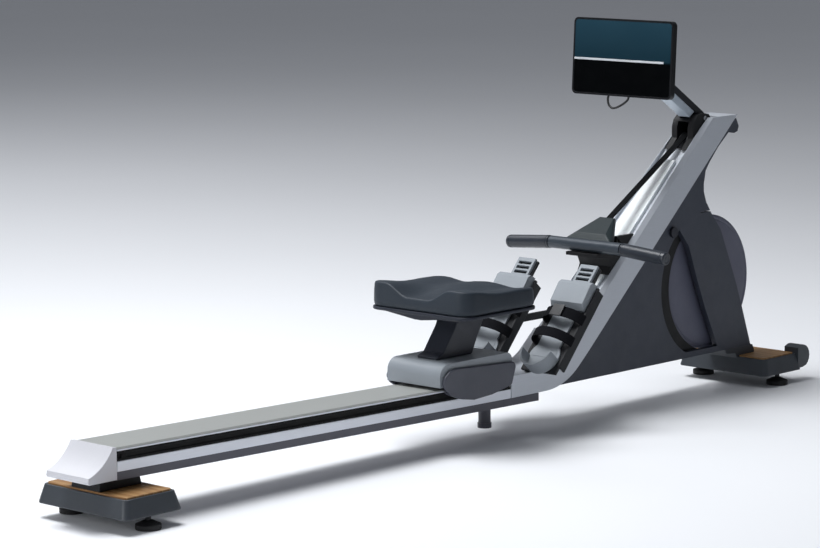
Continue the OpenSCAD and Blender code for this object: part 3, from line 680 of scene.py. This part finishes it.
def pull_belt():
    """The run to the handle is cut into pieces that belong to no body; the rest goes over the head pulley and
    down to the drum.
    """
    hx, hz, hr = HEAD
    slope = math.atan2(hz + hr * 0.83 - 485.0, hx - hr * 0.55 - 1766.0)
    r = hr + 1.9
    start = (YOKE_TIP[0] + 8.6 * math.cos(slope), YOKE_TIP[1] + 8.6 * math.sin(slope))
    top = (hx + r * math.cos(slope + math.pi / 2), hz + r * math.sin(slope + math.pi / 2))

    def row_points(pts):
        return [Vector((X(x), 0.0, z / 1000)) for x, z in pts]

    first, last = row_points([top, start])
    for i, (a, b) in enumerate(zip(BELT_CUTS, BELT_CUTS[1:])):
        piece = [first.lerp(last, a + (b - a) * k / 8) for k in range(9)]
        front = strip_mesh("pull_belt.run%d" % i, piece, (0, -1, 0), BELT_W, BELT_T, "belt_webbing", None,
                           (), a * (last - first).length)
        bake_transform(front)
    a0, a1 = math.degrees(slope) + 90, -22.0
    pts = []
    for k in range(25):
        a = math.radians(a0 + (a1 - a0) * k / 24)
        pts.append((hx + r * math.cos(a), hz + r * math.sin(a)))
    end = (DRUM[0] + DRUM[2] + 0.2, DRUM[1] + 2.0)
    last = pts[-1]
    for k in range(1, 31):
        f = k / 30
        pts.append((last[0] + (end[0] - last[0]) * f, last[1] + (end[1] - last[1]) * f))
    strip_mesh("pull_belt.webbing", row_points(pts), (0, 1, 0), BELT_W, BELT_T, "belt_webbing", "frame",
               ("pull_belt",))


pull_belt()


# ------------------------------------------------------------------ handle grips
def grips():
    drop = math.radians(4.5)
    for side, word in ((1, "left"), (-1, "right")):
        at = (X(1675), side * 0.113, 0.424)
        axis = (0, side * math.cos(drop), -math.sin(drop))
        prof = [(2, 11.2), (2, 15.2), (3.2, 16.3), (5, 16.5), (7, 16.5), (7.6, 15.7), (9.0, 15.7),
                (9.6, 16.5)]
        t = 12.0
        while t < 126:
            prof.append((t, 16.5))
            t += 6
        prof += [(127, 16.5), (127.8, 15.7), (129.4, 15.7), (130.2, 16.5), (134, 16.4), (137, 15.9),
                 (139, 14.8), (140, 13.2), (140.0, 11.4), (139.2, 11.0), (139.0, 6.0), (139.6, 5.4), (139.8, 0.4)]
        lathe("handle_grip_%s.sleeve" % word, [(a / 1000, b / 1000) for a, b in prof], at, axis, "grip_rubber",
              "handle", ("handle_grip_" + word,), 64, 30.0)


grips()


# ------------------------------------------------------------------ round covers over the flywheel
def fan_covers():
    # distance from the middle of the machine and radius, in mm, with two shallow grooves in the face
    prof = [(0.2, 24.2), (0.2, 174.6), (1.2, 175), (13, 175), (15.4, 174.4), (17, 172.8), (18.2, 170),
            (18.6, 167), (18.2, 164.8), (17.4, 163.8), (17.4, 162.2), (18.4, 161.2), (19.2, 158), (19.7, 140),
            (19.9, 110), (20, 70), (20, 48), (19.2, 46.6), (19.2, 44.6), (20, 43.2), (20, 26), (19.4, 24.6),
            (14.8, 24.2)]
    for side, word in ((1, "left"), (-1, "right")):
        at = (X(2147), 0.0, 0.282)
        n = len(prof)
        around = 128
        verts = []
        for t, r in prof:
            for k in range(around):
                a = 2 * math.pi * k / around
                out, up = r / 1000 * math.cos(a), r / 1000 * math.sin(a)
                verts.append((at[0] + out, side * t / 1000, at[2] + up))
        faces = rings_to_faces(n, around, False, False)
        for k in range(around):
            k2 = (k + 1) % around
            faces.append(((n - 1) * around + k, k, k2, (n - 1) * around + k2))
        add_mesh("fan_cover_%s.shell" % word, verts, faces, "cover_graphite", "frame",
                 ("fan_cover_" + word,), True, 30.0)


fan_covers()

# ------------------------------------------------------------------ rounded edges on moulded parts
# Node and width of its rounded edges in m
ROUNDED = (
    ("end_cap", 0.004), ("rear_foot_block", 0.0016), ("front_foot_block", 0.0016),
    ("rear_foot_top", 0.0012), ("front_foot_top", 0.0012), ("rear_riser", 0.002),
    ("side_panel_left", 0.002), ("side_panel_right", 0.002), ("head_bracket", 0.003),
    ("handle_holder", 0.003), ("foot_bracket", 0.0015), ("foot_base_left", 0.0015),
    ("foot_base_right", 0.0015), ("foot_slide_left", 0.0015), ("foot_slide_right", 0.0015),
    ("seat_pan", 0.002), ("seat_pedestal", 0.004), ("seat_carriage", 0.004),
    ("carriage_cover_left", 0.004), ("carriage_cover_right", 0.004), ("display_body", 0.003),
    ("display_arm", 0.003), ("display_arm_cover", 0.003), ("strap_buckles", 0.001),
    ("transport_wheel_left", 0.003), ("transport_wheel_right", 0.003), ("handle_yoke", 0.0015),
    ("levelling_feet", 0.0015), ("panel_bolts", 0.001), ("rail_body", 0.001), ("track_strips", 0.0006),
)
for node, width in ROUNDED:
    rounded(node, width)


# ------------------------------------------------------------------ floor and light
def plain(name, colour, rough):
    s = Shader(name, rough, 0.0, 0.3, 0.0, 0.2, 0.0, 0.0)
    cloud = s.noise(0.6, 3.0)
    s.base(s.mix(s.ramp(cloud, 0.3, 0.7), shade(colour, 0.99), shade(colour, 1.01)))
    return s.mat


def make_floor():
    me = bpy.data.meshes.new("floor")
    verts, faces = [(0.0, 0.0, 0.0)], []
    for k in range(96):
        a = 2 * math.pi * k / 96
        verts.append((60 * math.cos(a), 60 * math.sin(a), 0.0))
    for k in range(96):
        faces.append((0, 1 + k, 1 + (k + 1) % 96))
    me.from_pydata(verts, [], faces)
    ob = bpy.data.objects.new("floor", me)
    bpy.context.scene.collection.objects.link(ob)
    me.materials.append(plain("floor_pale", (0.86, 0.87, 0.89), 0.55))


def area_light(name, at, aim, size, power, colour=(1, 1, 1)):
    data = bpy.data.lights.new(name, "AREA")
    data.shape = "RECTANGLE"
    data.size, data.size_y = size
    data.energy = power
    data.color = colour
    ob = bpy.data.objects.new(name, data)
    ob.location = at
    ob.rotation_euler = (Vector(aim) - Vector(at)).to_track_quat("-Z", "Y").to_euler()
    bpy.context.scene.collection.objects.link(ob)


make_floor()
area_light("key", (-1.0, 1.1, 4.6), (0.0, 0.0, 0.0), (2.4, 2.4), 268.0, (0.965, 0.98, 1.0))
area_light("wash", (1.0, 5.5, 4.5), (2.0, 4.5, 0.0), (4.0, 4.0), 100.0, (0.96, 0.97, 1.0))
area_light("side", (-5.5, 0.6, 1.7), (0.0, 0.0, 0.4), (1.6, 2.4), 70.0, (0.96, 0.98, 1.0))
world = bpy.data.worlds.new("studio")
world.use_nodes = True
world.node_tree.nodes["Background"].inputs[0].default_value = (0.80, 0.84, 0.92, 1.0)
world.node_tree.nodes["Background"].inputs[1].default_value = 0.22
bpy.context.scene.world = world
bpy.context.scene.view_settings.view_transform = "Standard"
